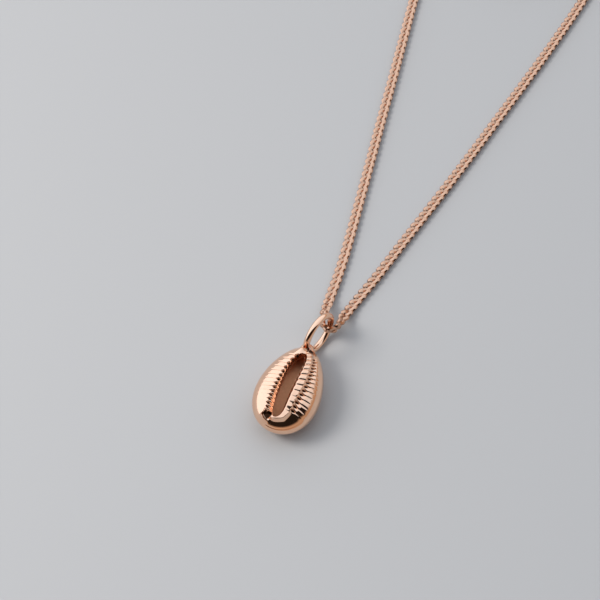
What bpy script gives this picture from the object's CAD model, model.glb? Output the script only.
import math

import bpy
import numpy as np
from mathutils import Matrix, Vector


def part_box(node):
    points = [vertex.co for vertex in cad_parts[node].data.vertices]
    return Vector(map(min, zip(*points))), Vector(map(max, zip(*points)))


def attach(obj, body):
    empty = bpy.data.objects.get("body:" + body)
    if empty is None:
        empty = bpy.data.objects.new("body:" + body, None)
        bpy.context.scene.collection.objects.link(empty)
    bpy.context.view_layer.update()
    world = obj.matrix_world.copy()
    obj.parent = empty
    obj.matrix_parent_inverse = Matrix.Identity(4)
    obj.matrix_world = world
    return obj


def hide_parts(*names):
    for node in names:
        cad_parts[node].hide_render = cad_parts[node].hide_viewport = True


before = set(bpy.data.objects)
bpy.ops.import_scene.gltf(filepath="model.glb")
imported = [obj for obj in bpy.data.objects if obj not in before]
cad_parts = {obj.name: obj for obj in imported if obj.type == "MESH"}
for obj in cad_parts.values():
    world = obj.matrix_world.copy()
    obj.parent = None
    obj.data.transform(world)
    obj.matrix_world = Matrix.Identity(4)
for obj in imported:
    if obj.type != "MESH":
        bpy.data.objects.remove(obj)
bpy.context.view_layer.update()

MM = 0.001

# ---- the camera ----
CAMERA_PLACE = (0.03698, -0.08666, 0.20939)
CAMERA_AIM = (-0.00470, 0.01155, 0.0)
CAMERA_LENS = 100

# ---- the chain: the route where it isn't coiled, then the coil and the two ends in its eye ----
CHAIN_ROUTE = [(x * MM, y * MM, z * MM) for x, y, z in (
    (-8.55, 80.9, 0.4), (-9.15, 77.2, 0.4), (-9.3, 73.0, 0.4), (-9.1, 68.6, 0.4),
    (-8.77, 66.24, 0.4), (-7.54, 58.56, 0.4), (-6.33, 51.08, 0.4), (-5.2, 43.78, 0.4),
    (-4.06, 36.67, 0.4), (-2.96, 29.75, 0.4), (-1.91, 22.98, 0.4), (-1.44, 19.65, 0.4),
    (-1.08, 16.32, 0.4), (-0.85, 13.5, 0.52), (-0.62, 11.8, 1.0), (-0.4, 10.5, 1.6),
    (-0.15, 9.2, 2.15), (0.15, 8.3, 2.5), (0.82, 7.78, 2.65), (1.66, 7.95, 2.5),
    (2.07, 8.9, 2.2), (2.14, 10.2, 1.65), (2.24, 11.3, 1.0), (2.48, 12.9, 0.52),
    (2.95, 14.9, 0.4), (3.83, 18.39, 0.4), (4.68, 22.25, 0.4), (5.51, 26.14, 0.4),
    (7.29, 34.1, 0.4), (9.02, 42.23, 0.4), (10.67, 50.51, 0.4), (12.35, 59.01, 0.4),
    (13.96, 67.68, 0.4), (15.37, 76.49, 0.4), (15.6, 79.2, 0.5), (15.2, 81.6, 0.85),
    (14.3, 83.6, 1.24))]
COIL_CENTRE = Vector((0.0025, 0.0851, 0.0))
COIL_OUTER = 9.25 * MM      # radius of the outermost turn's centre line
COIL_INNER = 6.15 * MM
COIL_RAMP = math.radians(55)  # the arc over which a strand swings in from the route to the outer turn
COIL_STEP = math.radians(10)
LOWER_LAYER = 0.4 * MM      # the heights of the two layers' centre lines
UPPER_LAYER = 1.24 * MM
LOWER_SWEEP = math.radians(730)  # how far each layer is wound
UPPER_SWEEP = math.radians(877)
CLASP_LEAD = [(x * MM, y * MM, z * MM) for x, y, z in (
    (-1.75, 86.3, 1.15), (-2.35, 86.15, 0.75), (-2.95, 85.6, 0.45), (-3.35, 84.9, 0.4))]
RING_LEAD = [(x * MM, y * MM, z * MM) for x, y, z in (
    (-3.55, 84.6, 1.24), (-3.2, 83.1, 1.22), (-2.3, 81.95, 1.0), (-1.1, 81.5, 0.6),
    (-0.1, 81.75, 0.42), (0.62, 82.1, 0.4))]

LINK = {
    "half_length": 0.70 * MM, "half_width": 0.31 * MM, "twist": 0.24 * MM, "wire": 0.335 * MM,
    "slant": math.radians(-28),  # a link's long axis from the chain's, seen on its flat face
    "flat": 0.37 * MM,      # how far the cut faces lie from the chain's middle plane
    "pitch": 1.10 * MM,
}
BAIL_FAR_SIDE = Vector((0.000985, 0.00898, 0.0))  # the wire that the chain turns round
CHAIN_ON_EDGE_TO = 0.0088   # the chain stands on its edge up to here and lies flat from the next
CHAIN_FLAT_FROM = 0.013

# ---- the shell ----
SHELL_MIDDLE = -2.86        # mm along +Y; the shell's sizes and places are in mm from here
SHELL = {
    "long": 6.58, "wide": 4.455,  # half the length and half the width
    "taper": 0.185,         # how much the outline narrows towards the bail
    "equator": 2.8,         # the height of the widest level
    "top": 6.0,
    "drop": 0.2,            # how deep the resting flat is cut into the rounded back
}
SLOT = {"middle": -0.30, "half_length": 4.95, "half_width": 0.78, "x": -0.30, "bow": 0.25}
WALL = 0.85
LIP_DROP = 0.72             # how far the lips turn down into the slot
COLUMNS = 480               # points in each row round the slot
# How many grooves along the lip a place is, and about how far apart they are, in mm.
LEFT_GROOVES = {"square": 0.047, "per_mm": -1.541, "first": 4.52, "pitch": 0.62}
RIDGE_GROOVES = {"first": 3.54, "per_mm": 1.239, "pitch": 0.81}
FLANK_GROOVES = {"first": 7.22, "per_mm": 1.614, "pitch": 0.62}

# ---- the nose and the bail; mm and degrees ----
HOLE = {"x": -0.28, "y": 3.6, "radius": 0.665}
NOSE = {"y": 3.45, "z": 2.75, "scale": (1.0, 1.08, 0.60)}
FLARE = {"place": (0.55, 3.25, 4.6), "scale": (0.65, 0.80, 0.85)}  # hollows the shell beside the hole
HOLE_STAIN = 0.7            # how dark the hole's wall is, where 1 is the deepest cut
BAIL = {"ring": 2.83, "wire": 0.46, "turn": 13.5, "lean": 5.6}  # two radii, two angles


def smooth(value, low, high):
    """0 below low, 1 above high, a smooth step between."""
    share = np.clip((value - low) / (high - low), 0, 1)
    return share * share * (3 - 2 * share)


def deselect():
    for item in bpy.context.selected_objects:
        item.select_set(False)


def only(piece):
    deselect()
    piece.select_set(True)
    bpy.context.view_layer.objects.active = piece


def named(name):
    """The object that an operator has just added, under its own name."""
    piece = bpy.context.object
    piece.name = name
    piece.data.name = name
    return piece


def points_of(piece):
    flat = np.zeros(len(piece.data.vertices) * 3)
    piece.data.vertices.foreach_get("co", flat)
    return flat.reshape(-1, 3)


def move_points(piece, places):
    piece.data.vertices.foreach_set("co", np.asarray(places, float).ravel())
    piece.data.update()


def add_modifier(piece, kind, **settings):
    modifier = piece.modifiers.new(kind.lower(), kind)
    for key, value in settings.items():
        setattr(modifier, key, value)
    only(piece)
    bpy.ops.object.modifier_apply(modifier=modifier.name)


def combine(piece, tools, operation):
    """Joins the tools to the piece, or cuts them out of it, and deletes them."""
    for tool in tools:
        add_modifier(piece, "BOOLEAN", object=tool, operation=operation, solver="MANIFOLD")
        bpy.data.objects.remove(tool)


def smooth_faces(piece, angle=math.radians(40)):
    only(piece)
    bpy.ops.object.shade_smooth_by_angle(angle=angle)


# ---- camera ----
def make_camera():
    aim = Vector(CAMERA_AIM) - Vector(CAMERA_PLACE)
    bpy.ops.object.camera_add(location=CAMERA_PLACE, rotation=aim.to_track_quat("-Z", "Y").to_euler())
    camera = bpy.context.object
    camera.data.lens = CAMERA_LENS
    camera.data.clip_start = 0.01
    bpy.context.scene.camera = camera


# ---- the chain ----
def through(points, steps):
    """A smooth line through all the points, with that many steps between each two."""
    given = [np.array(p, float) for p in points]
    ends = [2 * given[0] - given[1], *given, 2 * given[-1] - given[-2]]
    line = []
    for a, b, c, d in zip(ends, ends[1:], ends[2:], ends[3:]):
        knots = np.cumsum([0] + [math.sqrt(np.linalg.norm(q - p)) for p, q in ((a, b), (b, c), (c, d))])
        for t in np.linspace(knots[1], knots[2], steps, endpoint=False):
            level = [a, b, c, d]
            for size in (1, 2):
                level = [((knots[i + size] - t) * level[i] + (t - knots[i]) * level[i + 1])
                         / (knots[i + size] - knots[i]) for i in range(len(level) - 1)]
            share = (t - knots[1]) / (knots[2] - knots[1])
            line.append(level[0] * (1 - share) + level[1] * share)
    line.append(given[-1])
    return np.array(line)


def coil(start, turn, total, height):
    """A flat spiral from a strand's end at start inwards; turn is 1 anticlockwise and -1 clockwise."""
    offset = Vector(start) - COIL_CENTRE
    reach, angle = offset.xy.length, math.atan2(offset.y, offset.x)
    places = []
    for step in range(1, int(total / COIL_STEP) + 1):
        swept = step * COIL_STEP
        ramp = 1 - (1 - min(1, swept / COIL_RAMP)) ** 2
        wound = max(0, swept - COIL_RAMP) / (total - COIL_RAMP)
        radius = reach + (COIL_OUTER - reach) * ramp - (COIL_OUTER - COIL_INNER) * wound
        z = start[2] + (height - start[2]) * ramp
        a = angle + turn * swept
        places.append((COIL_CENTRE.x + radius * math.cos(a), COIL_CENTRE.y + radius * math.sin(a), z))
    return places


def chain_line():
    """The whole chain's centre line from the clasp to the end ring."""
    lower = coil(CHAIN_ROUTE[0], -1, LOWER_SWEEP, LOWER_LAYER)
    upper = coil(CHAIN_ROUTE[-1], 1, UPPER_SWEEP, UPPER_LAYER)
    return through(CLASP_LEAD + lower[::-1] + CHAIN_ROUTE + upper + RING_LEAD, 8)


def make_link():
    """One link: a ring of wire drawn long, twisted so that its neighbours lie flat, and cut flat."""
    bpy.ops.mesh.primitive_torus_add(major_segments=12, minor_segments=6,
                                     major_radius=LINK["half_length"], minor_radius=LINK["wire"])
    link = named("link")
    ring = points_of(link)
    around = np.arctan2(ring[:, 1], ring[:, 0])
    out = np.hypot(ring[:, 0], ring[:, 1]) - LINK["half_length"]
    side = np.stack([LINK["half_width"] * np.cos(around), LINK["half_length"] * np.sin(around)], 1)
    side /= np.linalg.norm(side, axis=1, keepdims=True)
    x = LINK["half_length"] * np.cos(around) + out * side[:, 0]
    y = LINK["half_width"] * np.sin(around) + out * side[:, 1]
    z = ring[:, 2] - LINK["twist"] * np.sin(2 * around)
    move_points(link, np.stack([x, y, np.clip(z, -LINK["flat"], LINK["flat"])], 1))
    return link


def face_direction(place):
    """Which way a link's flat face looks: up on the table, and outwards where it rounds the bail's wire."""
    away = Vector((place[0] - BAIL_FAR_SIDE.x, place[1] - BAIL_FAR_SIDE.y, 0)).normalized()
    edge = float(1 - smooth(place[1], CHAIN_ON_EDGE_TO, CHAIN_FLAT_FROM))
    return Vector((0, 0, 1)).lerp(away, edge).normalized()


def make_chain(line):
    """All the links along the line, joined in one mesh, and the line's length."""
    link = make_link()
    along = np.concatenate([[0], np.cumsum(np.linalg.norm(np.diff(line, axis=0), axis=1))])
    count = round(along[-1] / LINK["pitch"])
    pitch = along[-1] / count

    def at(s):
        return Vector([np.interp(s, along, line[:, k]) for k in range(3)])

    copies = []
    for i in range(count):
        s = (i + 0.5) * pitch
        forward = (at(s + pitch / 2) - at(s - pitch / 2)).normalized()
        up = face_direction(at(s))
        side = up.cross(forward).normalized()
        turn = Matrix((forward, side, forward.cross(side))).transposed().to_4x4()
        copy = link.copy()
        copy.data = link.data.copy()
        copy.data.transform(Matrix.Translation(at(s)) @ turn @ Matrix.Rotation(LINK["slant"], 4, "Z"))
        bpy.context.scene.collection.objects.link(copy)
        copies.append(copy)
    bpy.data.objects.remove(link)
    only(copies[0])
    for copy in copies:
        copy.select_set(True)
    bpy.ops.object.join()
    chain = named("curb_chain")
    smooth_faces(chain, math.radians(50))
    return chain, float(along[-1])


# ---- the shell ----
def slot_edge(eta, side):
    """The slot's edge at eta along it; side is 1 on the right lip and -1 on the left."""
    open_share = np.sqrt(np.maximum(0, 1 - eta ** 4))
    x = SLOT["x"] + SLOT["bow"] * eta ** 2 + side * SLOT["half_width"] * open_share
    return x, SLOT["middle"] + SLOT["half_length"] * eta


def outline(eta, side, inset=0.0):
    """The shell's outline from above, or the hollow's with an inset of the wall."""
    wide = (SHELL["wide"] - inset) * (1 - SHELL["taper"] * eta)
    return side * wide * np.sqrt(np.maximum(0, 1 - eta ** 2)), (SHELL["long"] - 1.5 * inset) * eta


def body_height(x, y, way, inset=0.0):
    """Height of the smooth body over a point, above (way 1) or below (way -1) its widest level."""
    long = SHELL["long"] - 1.5 * inset
    wide = (SHELL["wide"] - inset) * (1 - SHELL["taper"] * np.clip(y / long, -1, 1))
    rise = np.sqrt(np.maximum(0, 1 - (x / wide) ** 2 - (y / long) ** 2))
    if way > 0:
        reach = SHELL["top"] - inset - SHELL["equator"]
    else:
        reach = SHELL["equator"] + SHELL["drop"] - inset
    return SHELL["equator"] + way * reach * rise


def stations():
    """Evenly spaced places round the slot: eta from -1 at the far end to 1 at the bail, and the side."""
    fine = np.linspace(0, math.pi, 4001)
    eta = -np.cos(fine)
    x, y = slot_edge(eta, 1)
    along = np.concatenate([[0], np.cumsum(np.hypot(np.diff(x), np.diff(y)))])
    half = COLUMNS // 2
    right = np.interp(np.arange(half) / half * along[-1], along, eta)
    left = np.interp((1 - np.arange(half) / half) * along[-1], along, eta)
    return np.concatenate([right, left]), np.concatenate([np.ones(half), -np.ones(half)])


def groove(index, half_width, pitch):
    """1 on each groove's floor, falling to 0 on the ribs beside it."""
    away = (index - np.round(index)) * pitch
    return np.exp(-(away / half_width) ** 2)


def left_relief(eta, x, y, off, band):
    """Height added to the left lip, and how dark it is in the cuts.

    off is the distance out from the lip's crest, band the inner slope's width.
    """
    inside = np.clip(-off / band, 0, 1)
    # At the slot's far end the inner slope turns into a dark pocket with a steep side.
    pocket = 1 - smooth(eta, -0.88, -0.84)
    slope = -0.68 * inside ** (1.3 - 0.85 * pocket)
    rim = (0.12 + 0.3 * np.maximum(0, -y - 4)) * np.exp(-((off - 0.16) / 0.18) ** 2)
    rim = rim * (1 - smooth(eta, -0.88, -0.70))
    # The grooves are deepest right at the crest and run out to nothing on its outer side.
    index = LEFT_GROOVES["square"] * y ** 2 + LEFT_GROOVES["per_mm"] * y + LEFT_GROOVES["first"]
    faint = 0.5 + 0.5 * smooth(y, -4.5, -1.5)
    depth = np.where(off < 0, 0.20 + 0.20 * np.exp(-(off / 0.12) ** 2),
                     0.07 * faint * smooth(y, -4.4, -3.4) + 0.35 * np.exp(-(off / 0.20) ** 2))
    depth = depth * (1 - smooth(off, 1.3, 2.4)) * (1 - smooth(y, 4.3, 4.7)) * smooth(y, -5.0, -4.9)
    width = np.where(off < 0, 0.14, 0.06 + 0.11 * np.exp(-(off / 0.22) ** 2))
    cut = groove(index, width, LEFT_GROOVES["pitch"])
    stain = cut * np.exp(-(off / 0.16) ** 2) * smooth(depth, 0.1, 0.25)
    in_pocket = pocket * smooth(inside, 0.05, 0.25) * smooth(-x, 0.55, 0.8)
    return slope + rim - depth * cut, np.maximum(stain, in_pocket)


def right_relief(x, y, out, band):
    """Height added to the right lip, and how dark it is in the cuts.

    From the slot outwards it is a proud rounded ridge of width band, a step, then the ribbed flank.
    """
    share = out / band
    ridge = 0.20 * smooth(share, 0.05, 0.35) - 0.85 * (1 - smooth(share, 0, 0.3)) ** 1.5
    ridge = ridge + 0.3 * np.maximum(0, -y - 4) * smooth(share, 0.0, 0.3) * (1 - smooth(share, 0.78, 1.1))
    ridge = ridge - 0.34 * smooth(share, 0.78, 1.05)
    ridge = ridge + 0.14 * smooth(share, 1.05, 1.6) * smooth(y, -4.4, -3.4)
    # The notches on the ridge fan out with x, and the ridge swells between them.
    reach = x - 0.55
    along = (y - 0.30 * reach) / (1 + 0.12 * reach)
    index = RIDGE_GROOVES["first"] - RIDGE_GROOVES["per_mm"] * along
    tooth = groove(index, 0.10, RIDGE_GROOVES["pitch"])
    dip = 0.5 + 0.5 * np.cos(2 * math.pi * index)
    upper = smooth(y, -3.0, 1.0)
    on_ridge = 0.035 + 0.045 * upper + 0.10 * upper * np.exp(-(share / 0.15) ** 2)
    on_ridge = on_ridge * (1 - smooth(share, 0.85, 1.05)) * smooth(y, -4.3, -2.9)
    # The flank's grooves fan out in the same way, and are deepest at the foot of the ridge.
    reach = x - 2.0
    along = (y - 0.252 * reach) / (1 + 0.14 * reach)
    past = out - band
    index = FLANK_GROOVES["first"] - FLANK_GROOVES["per_mm"] * along
    rib = groove(index, 0.08 + 0.07 * np.exp(-(past / 0.35) ** 2), FLANK_GROOVES["pitch"])
    on_flank = 0.08 + 0.28 * np.exp(-((past - 0.05) / 0.3) ** 2)
    on_flank = on_flank * smooth(past, -0.45, 0.0) * (1 - smooth(past, 0.9, 1.9))
    on_flank = on_flank * smooth(y, -4.1, -3.7) * (1 - smooth(y, 4.6, 4.9))
    stain = rib * np.exp(-((past - 0.02) / 0.3) ** 2) * smooth(on_flank, 0.1, 0.25)
    return ridge - on_ridge * ((0.3 + 0.7 * upper) * tooth + 0.9 * dip) - on_flank * rib, stain


# Widths across the lips, in mm, at places from the slot's far end (-1) to its bail end (1).
LEFT_BAND = ((-1.0, 0.50), (-0.985, 0.70), (-0.95, 1.15), (-0.88, 1.45), (-0.85, 0.85), (-0.8, 0.74),
             (-0.4, 0.60), (1.0, 0.14))
RIDGE_WIDTH = ((-1.0, 0.40), (-0.9, 1.0), (-0.74, 1.30), (-0.35, 1.42), (0.0, 1.68), (0.25, 1.68),
               (0.5, 1.5), (0.98, 1.25), (1.0, 1.2))


def shoulder(x, y):
    """The smooth hump between the slot's end and the hole."""
    along = 0.38 * (x + 0.60) + 0.92 * (y - 5.45)
    across = 0.92 * (x + 0.60) - 0.38 * (y - 5.45)
    return 0.60 * np.exp(-(along / 0.75) ** 2 - (across / 0.50) ** 2)


def face_rows(eta, side, shares):
    """Rows of points on the slotted face, from the slot's edge (share 0) out to the outline (share 1)."""
    sx, sy = slot_edge(eta, side)
    ox, oy = outline(eta, side)
    right_band = np.interp(eta, *zip(*RIDGE_WIDTH))
    left_band = np.interp(eta, *zip(*LEFT_BAND))
    # The right lip's ridge goes on a little way round the far end, on to the left side.
    rightness = np.where(side > 0, 1.0, 1 - smooth(eta, -0.99, -0.93))
    rightness = rightness * (1 - smooth(eta, 0.985, 1.0))
    rows = []
    for share in shares:
        x = sx + (ox - sx) * share
        y = sy + (oy - sy) * (share + share ** 2) / 2
        out = np.hypot(x - sx, y - sy)
        right, right_stain = right_relief(x, y, out, right_band)
        left, left_stain = left_relief(eta, x, y, out - left_band, left_band)
        relief = right * rightness + left * (1 - rightness)
        relief = relief + shoulder(x, y)
        relief = relief * (1 - smooth(share, 0.85, 0.99))
        stain = right_stain * rightness + left_stain * (1 - rightness)
        rows.append(np.stack([x, y, body_height(x, y, 1) + relief, stain, np.zeros(COLUMNS)], 1))
    return rows


def shell_rows():
    """All the shell's rows, from the middle of the hollow's floor to the middle of the resting spot.

    Each point has its x, y and z in mm, how far it lies in a cut, and whether it is in the hollow.
    """
    eta, side = stations()
    sx, sy = slot_edge(eta, side)
    none, full = np.zeros(COLUMNS), np.ones(COLUMNS)
    rows = []
    # The hollow: its floor outwards, then its ceiling back in to the slot.
    ix, iy = outline(eta, side, WALL)
    for share in np.linspace(0.12, 0.98, 12):
        z = body_height(ix * share, iy * share, -1, WALL)
        rows.append(np.stack([ix * share, iy * share, z, none, full], 1))
    mouth = body_height(sx, sy, 1) - LIP_DROP - WALL
    for share in np.linspace(1.0, 0.0, 14):
        x, y = sx + (ix - sx) * share, sy + (iy - sy) * share
        z = np.minimum(body_height(x, y, 1, WALL), mouth + 0.35 * share)
        rows.append(np.stack([x, y, z, none, full], 1))
    # The slot's wall, then the face out to the widest level.
    face = face_rows(eta, side, np.concatenate([np.linspace(0, 0.6, 44), np.linspace(0.62, 1, 20)]))
    inner_edge = rows[-1]
    for share in (0.25, 0.5, 0.75):
        rows.append(inner_edge * (1 - share) + face[0] * share)
    rows += face
    # The back, round and under to the resting spot.
    ox, oy = outline(eta, side)
    for angle in np.linspace(0, 1, 20)[1:-1]:
        share = math.cos(angle * math.pi / 2)
        z = np.maximum(0, body_height(ox * share, oy * share, -1))
        rows.append(np.stack([ox * share, oy * share, z, none, none], 1))
    return rows


def add_nose(shell):
    """The rounded nose at the shell's end, with the upright hole that the bail goes through."""
    bpy.ops.mesh.primitive_uv_sphere_add(segments=64, ring_count=32, radius=1 * MM, scale=NOSE["scale"],
                                         location=(HOLE["x"] * MM, NOSE["y"] * MM, NOSE["z"] * MM))
    nose = named("nose")
    bpy.ops.mesh.primitive_cylinder_add(vertices=64, radius=HOLE["radius"] * MM, depth=8 * MM,
                                        location=(HOLE["x"] * MM, HOLE["y"] * MM, 3 * MM))
    bore = named("bore")
    bpy.ops.mesh.primitive_uv_sphere_add(segments=64, ring_count=32, radius=1 * MM, scale=FLARE["scale"],
                                         location=[value * MM for value in FLARE["place"]])
    flare = named("flare")
    for tool in (bore, flare):
        shade = tool.data.attributes.new("recess", "FLOAT", "POINT")
        shade.data.foreach_set("value", np.full(len(tool.data.vertices), HOLE_STAIN))
    combine(shell, [nose], "UNION")
    combine(shell, [bore, flare], "DIFFERENCE")


def make_shell():
    """A ball whose rows of points are moved to the shell's rows, so that it is one closed skin."""
    rows = shell_rows()
    bpy.ops.mesh.primitive_uv_sphere_add(segments=COLUMNS, ring_count=len(rows) + 1, radius=1)
    shell = named("cowrie")
    ball = points_of(shell)
    row = np.round(np.arccos(np.clip(ball[:, 2], -1, 1)) / math.pi * (len(rows) + 1)).astype(int)
    column = np.round(np.arctan2(ball[:, 1], ball[:, 0]) / (2 * math.pi) * COLUMNS).astype(int) % COLUMNS
    floor = np.tile([0, 0, body_height(0, 0, -1, WALL), 0, 1], (COLUMNS, 1))
    rest = np.zeros((COLUMNS, 5))
    grid = np.array([floor, *rows, rest])[row, column]
    move_points(shell, (grid[:, :3] + (0, SHELL_MIDDLE, 0)) * MM)
    for name, values in (("recess", np.clip(grid[:, 3], 0, 1)), ("hollow", grid[:, 4])):
        shell.data.attributes.new(name, "FLOAT", "POINT").data.foreach_set("value", values)
    add_nose(shell)
    smooth_faces(shell)
    return shell


# ---- rings ----
def make_bail():
    """The bail, a round wire ring that stands nearly upright on its edge."""
    middle = (Vector(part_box("bail_ring")[0]) + Vector(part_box("bail_ring")[1])) / 2
    bpy.ops.mesh.primitive_torus_add(major_segments=120, minor_segments=32,
                                     major_radius=BAIL["ring"] * MM, minor_radius=BAIL["wire"] * MM)
    bail = named("bail")
    turn = Matrix.Rotation(math.radians(90 - BAIL["turn"]), 4, "Z")
    lean = Matrix.Rotation(math.radians(90 - BAIL["lean"]), 4, "X")
    bail.data.transform(Matrix.Translation(middle) @ turn @ lean)
    smooth_faces(bail)
    return bail


def make_small_ring(name, middle, radius, wire, turn=Matrix()):
    """A ring of round wire whose two ends meet in a hairline."""
    bpy.ops.mesh.primitive_torus_add(major_segments=96, minor_segments=20,
                                     major_radius=radius * MM, minor_radius=wire * MM)
    ring = named(name)
    places = points_of(ring)
    angle = np.arctan2(places[:, 1], places[:, 0])
    seam = 1 - 0.12 * np.exp(-(angle / 0.035) ** 2)
    out = np.hypot(places[:, 0], places[:, 1])
    pinched = radius * MM + (out - radius * MM) * seam
    move_points(ring, np.stack([pinched * np.cos(angle), pinched * np.sin(angle), places[:, 2] * seam], 1))
    ring.data.transform(Matrix.Translation(Vector(middle) * MM) @ turn)
    smooth_faces(ring)
    return ring


# ---- the clasp; its sizes are in mm from its middle ----
CLASP_MIDDLE = Vector((3.6, 86.3, 0.75)) * MM
PIVOT = (-1.15, 0.1)
EYE = (-2.9, 0.0)
HOOK = (1.2, 0.0)
CLASP = {
    "thick": 1.4, "hook_outer": 1.95, "hook_inner": 1.15, "eye_outer": 0.98, "eye_hole": 0.62,
    "rivet": 0.24, "rivet_hole": 0.3, "pocket_gap": 0.6, "pocket_reach": 1.5, "pocket_round": 0.72,
    "lever_root": 0.62, "lever_thin": 0.44, "lever_thick": 1.2, "thumb": 0.3,
}


def arc(centre, radius, start, end, steps):
    """Points on a round stretch, from one angle to the other in degrees."""
    angles = np.radians(np.linspace(start, end, steps))
    return [(centre[0] + radius * math.cos(a), centre[1] + radius * math.sin(a)) for a in angles]


def curve(a, b, c, d, steps=10):
    """Points between a and d on the curve that b and c pull."""
    share = np.linspace(0, 1, steps + 2)[1:-1, None]
    a, b, c, d = (np.array(p, float) for p in (a, b, c, d))
    line = a * (1 - share) ** 3 + 3 * b * share * (1 - share) ** 2 + 3 * c * share ** 2 * (1 - share)
    return [tuple(p) for p in line + d * share ** 3]


def make_plate(name, outline_points, thickness, rim):
    """A flat casting with that outline and rounded rims, lying level round the clasp's middle plane."""
    bpy.ops.mesh.primitive_circle_add(vertices=len(outline_points), radius=1 * MM, fill_type="NGON")
    plate = named(name)
    move_points(plate, [(CLASP_MIDDLE.x + x * MM, CLASP_MIDDLE.y + y * MM, CLASP_MIDDLE.z)
                        for x, y in outline_points])
    add_modifier(plate, "SOLIDIFY", thickness=thickness * MM, offset=0)
    add_modifier(plate, "BEVEL", width=rim * MM, segments=4, limit_method="ANGLE",
                 angle_limit=math.radians(50))
    only(plate)
    bpy.ops.object.mode_set(mode="EDIT")
    bpy.ops.mesh.select_all(action="SELECT")
    bpy.ops.mesh.normals_make_consistent(inside=False)
    bpy.ops.object.mode_set(mode="OBJECT")
    return plate


def make_disc(name, centre, radius, thickness, rim=0.0):
    """A round plug, upright in the clasp and even on both sides of its middle plane."""
    place = CLASP_MIDDLE + Vector((centre[0], centre[1], 0)) * MM
    bpy.ops.mesh.primitive_cylinder_add(vertices=48, radius=radius * MM, depth=thickness * MM,
                                        location=place)
    disc = named(name)
    only(disc)
    bpy.ops.object.transform_apply(location=True)
    if rim:
        add_modifier(disc, "BEVEL", width=rim * MM, segments=3, limit_method="ANGLE")
    return disc


def make_clasp_body():
    outer = arc(HOOK, CLASP["hook_outer"], 75, -140, 60)
    eye = arc(EYE, CLASP["eye_outer"], -80, -280, 36)
    points = (outer + curve(outer[-1], (-1.1, -1.35), (-1.9, -0.75), eye[0]) + eye
              + curve(eye[-1], (-2.1, 0.75), (-1.9, 1.05), (-1.1, 1.05)) + [(-1.1, 1.05), (-0.35, 0.8)]
              + arc(HOOK, CLASP["hook_inner"], 162, 435, 60))
    body = make_plate("clasp_casting", points, CLASP["thick"], 0.2)
    wedge = [PIVOT] + arc(PIVOT, CLASP["pocket_reach"], -32, 88, 24)
    combine(body, [
        make_plate("pocket", wedge, CLASP["pocket_gap"], 0.01),
        make_disc("pocket_round", PIVOT, CLASP["pocket_round"], CLASP["pocket_gap"]),
        make_disc("eye_hole", EYE, CLASP["eye_hole"], 3),
        make_disc("rivet_hole", PIVOT, CLASP["rivet_hole"], 3)], "DIFFERENCE")
    # The eye's end is shaved thinner than the hook, which leaves the jump ring room.
    for way in (1, -1):
        place = CLASP_MIDDLE + Vector((EYE[0] - 0.2, 0, way * 0.85)) * MM
        bpy.ops.mesh.primitive_cube_add(size=1 * MM, location=place, scale=(2.4, 3, 1))
        combine(body, [named("shave")], "DIFFERENCE")
    smooth_faces(body, math.radians(35))
    return body


def make_clasp_lever():
    arm = ([(0.12, 0.62)] + curve((0.12, 0.62), (0.51, 0.81), (0.89, 0.92), (1.26, 0.98))
           + [(1.26, 0.98), (1.26, 1.66)] + curve((1.26, 1.66), (0.75, 1.66), (0.32, 1.52), (-0.05, 1.25))
           + [(-0.05, 1.25)])
    thin = CLASP["lever_thin"]
    lever = make_disc("lever_casting", PIVOT, CLASP["lever_root"], thin, 0.06)
    combine(lever, [
        make_plate("web", [(-0.95, -0.35), (0.3, 0.55), (0.2, 1.2), (-1.25, 0.65)], thin, 0.04),
        make_plate("stem", [(-1.2, 0.4), (-0.7, 0.4), (-0.45, 1.25), (-0.9, 1.3)], thin, 0.04),
        make_plate("arm", arm, CLASP["lever_thick"], 0.14),
        make_disc("thumb", (-0.75, 1.2), CLASP["thumb"], thin, 0.1)], "UNION")
    combine(lever, [make_disc("lever_hole", PIVOT, CLASP["rivet_hole"], 3)], "DIFFERENCE")
    smooth_faces(lever, math.radians(35))
    return lever


# ---- materials ----
ROSE_GOLD = (0.95, 0.585, 0.40, 1)
PALE_GOLD = (0.96, 0.63, 0.44, 1)
LINK_GOLD = (0.62, 0.365, 0.24, 1)
PALE_LINK_GOLD = (0.71, 0.43, 0.295, 1)
DULL_GOLD = (0.82, 0.40, 0.22, 1)   # as cast, in the hollow
DEEP_DULL_GOLD = (0.66, 0.30, 0.15, 1)
DARK_GOLD = (0.05, 0.02, 0.01, 1)   # oxidised, in the deepest cuts


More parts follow.
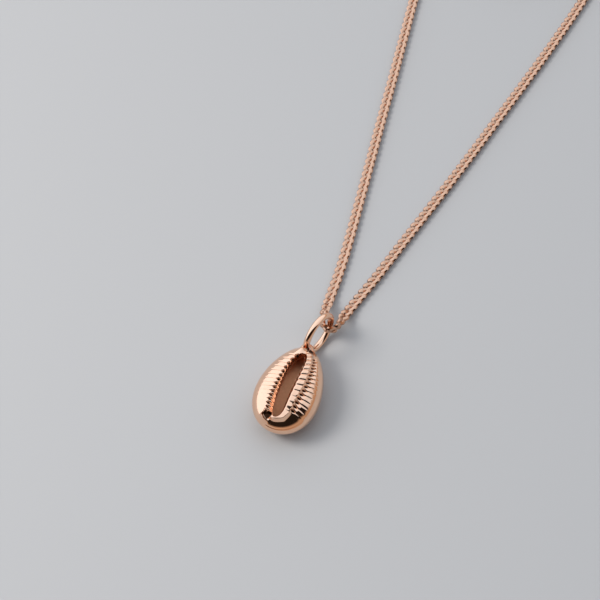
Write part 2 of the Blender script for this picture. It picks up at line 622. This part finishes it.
class Paint:
    """A new material and short ways to add nodes to it."""

    def __init__(self, name):
        self.material = bpy.data.materials.new(name)
        self.material.use_nodes = True
        self.nodes, self.links = self.material.node_tree.nodes, self.material.node_tree.links
        self.shader = self.nodes["Principled BSDF"]

    def put(self, value, socket):
        if isinstance(value, bpy.types.NodeSocket):
            self.links.new(value, socket)
        else:
            socket.default_value = value

    def noise(self, scale, detail=3.0, stretch=(1, 1, 1)):
        """Noise on the piece's own coordinates; scale is in waves per metre."""
        mapping = self.nodes.new("ShaderNodeMapping")
        mapping.inputs["Scale"].default_value = stretch
        self.links.new(self.nodes.new("ShaderNodeTexCoord").outputs["Object"], mapping.inputs["Vector"])
        node = self.nodes.new("ShaderNodeTexNoise")
        node.inputs["Scale"].default_value = scale
        node.inputs["Detail"].default_value = detail
        self.links.new(mapping.outputs["Vector"], node.inputs["Vector"])
        return node.outputs["Fac"]

    def span(self, value, low, high, start, end):
        """value taken from low...high to start...end, held at both ends."""
        node = self.nodes.new("ShaderNodeMapRange")
        for name, number in (("From Min", low), ("From Max", high), ("To Min", start), ("To Max", end)):
            node.inputs[name].default_value = number
        self.links.new(value, node.inputs["Value"])
        return node.outputs["Result"]

    def mix(self, share, first, second, kind="RGBA"):
        node = self.nodes.new("ShaderNodeMix")
        node.data_type = kind
        place = {"FLOAT": (2, 3, 0), "RGBA": (6, 7, 2)}[kind]
        self.put(share, node.inputs[0])
        self.put(first, node.inputs[place[0]])
        self.put(second, node.inputs[place[1]])
        return node.outputs[place[2]]

    def bump(self, height, distance):
        node = self.nodes.new("ShaderNodeBump")
        node.inputs["Distance"].default_value = distance
        node.inputs["Strength"].default_value = 1
        self.links.new(height, node.inputs["Height"])
        self.links.new(node.outputs["Normal"], self.shader.inputs["Normal"])

    def attribute(self, name):
        node = self.nodes.new("ShaderNodeAttribute")
        node.attribute_name = name
        return node.outputs["Fac"]


def gold(name, low, high, wave, scale=900, colours=(ROSE_GOLD, PALE_GOLD)):
    """Polished rose gold; its roughness wanders from low to high, its surface waves by wave metres."""
    paint = Paint(name)
    paint.put(1, paint.shader.inputs["Metallic"])
    haze = paint.noise(scale, 4)
    tone = paint.mix(paint.span(haze, 0.35, 0.7, 0, 1), *colours)
    paint.put(tone, paint.shader.inputs["Base Color"])
    hairlines = paint.noise(9000, 2, (1, 0.06, 1))
    scratched = paint.span(hairlines, 0.60, 0.70, 0, 0.4)
    rough = paint.mix(scratched, paint.span(haze, 0.3, 0.75, low, high), 0.22, "FLOAT")
    paint.put(rough, paint.shader.inputs["Roughness"])
    paint.bump(paint.noise(scale, 2), wave)
    return paint, tone, rough


def shell_gold():
    """The shell's gold: polished outside, dark in the deepest cuts, dull as cast in the hollow."""
    paint, tone, rough = gold("polished_rose_gold", 0.05, 0.12, 4e-6)
    recess, hollow = paint.attribute("recess"), paint.attribute("hollow")
    cast = paint.mix(paint.noise(2500, 5), DULL_GOLD, DEEP_DULL_GOLD)
    tone = paint.mix(paint.span(recess, 0.1, 0.7, 0, 1), tone, DARK_GOLD)
    paint.put(paint.mix(hollow, tone, cast), paint.shader.inputs["Base Color"])
    rough = paint.mix(paint.span(recess, 0.1, 0.7, 0, 1), rough, 0.35, "FLOAT")
    paint.put(paint.mix(hollow, rough, 0.5, "FLOAT"), paint.shader.inputs["Roughness"])
    return paint.material


def dress(piece, material):
    piece.data.materials.clear()
    piece.data.materials.append(material)


# ---- the table, the light and the surroundings ----
TABLE_GREY = (0.436, 0.415, 0.396, 1)
BRIGHT_WALL = (1.02, 1.13, 1.28, 1)   # the lit wall behind the piece, and the ceiling
WARM_WALL = (0.62, 0.45, 0.33, 1)     # low down all round
PLAIN_WALL = (0.58, 0.585, 0.60, 1)   # what a low view sees past the table
UNLIT_WALL = (0.02, 0.015, 0.012, 1)  # on the camera's side
KEY_PLACE = Vector((-0.27, -0.07, 0.28))  # the one lamp, which shines at the origin


def make_table():
    bpy.ops.mesh.primitive_plane_add(size=6)
    table = named("table")
    material = bpy.data.materials.new("pale_table")
    material.use_nodes = True
    shader = material.node_tree.nodes["Principled BSDF"]
    shader.inputs["Base Color"].default_value = TABLE_GREY
    shader.inputs["Roughness"].default_value = 0.7
    dress(table, material)


def make_surroundings():
    """Studio walls, which the polished metal mirrors; they are told apart by direction."""
    world = bpy.data.worlds.new("studio")
    bpy.context.scene.world = world
    world.use_nodes = True
    nodes, links = world.node_tree.nodes, world.node_tree.links
    place = nodes.new("ShaderNodeTexCoord")
    split = nodes.new("ShaderNodeSeparateXYZ")
    links.new(place.outputs["Generated"], split.inputs[0])

    def step(source, low, high):
        node = nodes.new("ShaderNodeMapRange")
        node.interpolation_type = "SMOOTHSTEP"
        node.inputs["From Min"].default_value = low
        node.inputs["From Max"].default_value = high
        links.new(source, node.inputs["Value"])
        return node.outputs["Result"]

    def blend(share, low, high):
        node = nodes.new("ShaderNodeMix")
        node.data_type = "RGBA"
        links.new(share, node.inputs[0])
        for source, socket in ((low, node.inputs[6]), (high, node.inputs[7])):
            if isinstance(source, tuple):
                socket.default_value = source
            else:
                links.new(source, socket)
        return node.outputs[2]

    def times_plus(source, factor, added):
        node = nodes.new("ShaderNodeMath")
        node.operation = "MULTIPLY_ADD"
        links.new(source, node.inputs[0])
        node.inputs[1].default_value = factor
        if isinstance(added, float):
            node.inputs[2].default_value = added
        else:
            links.new(added, node.inputs[2])
        return node.outputs[0]

    side, back, up = split.outputs
    dome = blend(step(times_plus(side, -0.5, back), -0.40, -0.32), UNLIT_WALL, BRIGHT_WALL)
    dome = blend(step(up, 0.93, 0.98), dome, BRIGHT_WALL)
    dome = blend(step(times_plus(side, -0.2, up), 0.0, 0.24), WARM_WALL, dome)
    links.new(dome, nodes["Background"].inputs["Color"])
    links.new(times_plus(side, -0.24, 1.0), nodes["Background"].inputs["Strength"])
    plain = nodes.new("ShaderNodeBackground")
    plain.inputs["Color"].default_value = PLAIN_WALL
    choose = nodes.new("ShaderNodeMixShader")
    links.new(nodes.new("ShaderNodeLightPath").outputs["Is Camera Ray"], choose.inputs[0])
    links.new(nodes["Background"].outputs[0], choose.inputs[1])
    links.new(plain.outputs[0], choose.inputs[2])
    links.new(choose.outputs[0], nodes["World Output"].inputs["Surface"])


def make_key_light():
    """A soft lamp for the shadows; the metal mirrors the walls and not the lamp."""
    bpy.ops.object.light_add(type="AREA", location=KEY_PLACE)
    key = bpy.context.object
    key.rotation_euler = (-KEY_PLACE).to_track_quat("-Z", "Y").to_euler()
    key.data.size = 0.15
    key.data.energy = 1.05
    key.visible_glossy = False


make_camera()

line = chain_line()
chain, chain_length = make_chain(line)
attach(chain, "necklace")
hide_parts("chain_run", "chain_coil")

jump_ring = make_small_ring("jump_ring", (-0.2, 86.3, 1.37), 1.15, 0.22,
                            Matrix.Rotation(math.pi / 2, 4, "X"))
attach(jump_ring, "necklace")
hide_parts("clasp_jump_ring")

end_ring = make_small_ring("chain_end_ring", (2.2, 82.3, 0.3), 1.35, 0.3)
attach(end_ring, "necklace")
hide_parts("end_ring")

clasp = make_clasp_body()
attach(clasp, "necklace")
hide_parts("clasp_body")

lever = make_clasp_lever()
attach(lever, "lever")
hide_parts("clasp_lever")

rivet = make_disc("clasp_pin", PIVOT, CLASP["rivet"], CLASP["thick"] + 0.1, 0.05)
smooth_faces(rivet, math.radians(35))
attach(rivet, "necklace")
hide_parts("clasp_rivet")

shell = make_shell()
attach(shell, "pendant")
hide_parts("shell")

bail = make_bail()
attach(bail, "necklace")
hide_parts("bail_ring")

dress(shell, shell_gold())
wire_gold = gold("rose_gold_wire", 0.05, 0.12, 3e-6)[0].material
for piece in (bail, jump_ring, end_ring, clasp, lever, rivet):
    dress(piece, wire_gold)
dress(chain, gold("rose_gold_links", 0.08, 0.17, 2e-6, 4000, (LINK_GOLD, PALE_LINK_GOLD))[0].material)

make_table()
make_surroundings()
make_key_light()
bpy.context.scene.view_settings.view_transform = "Standard"
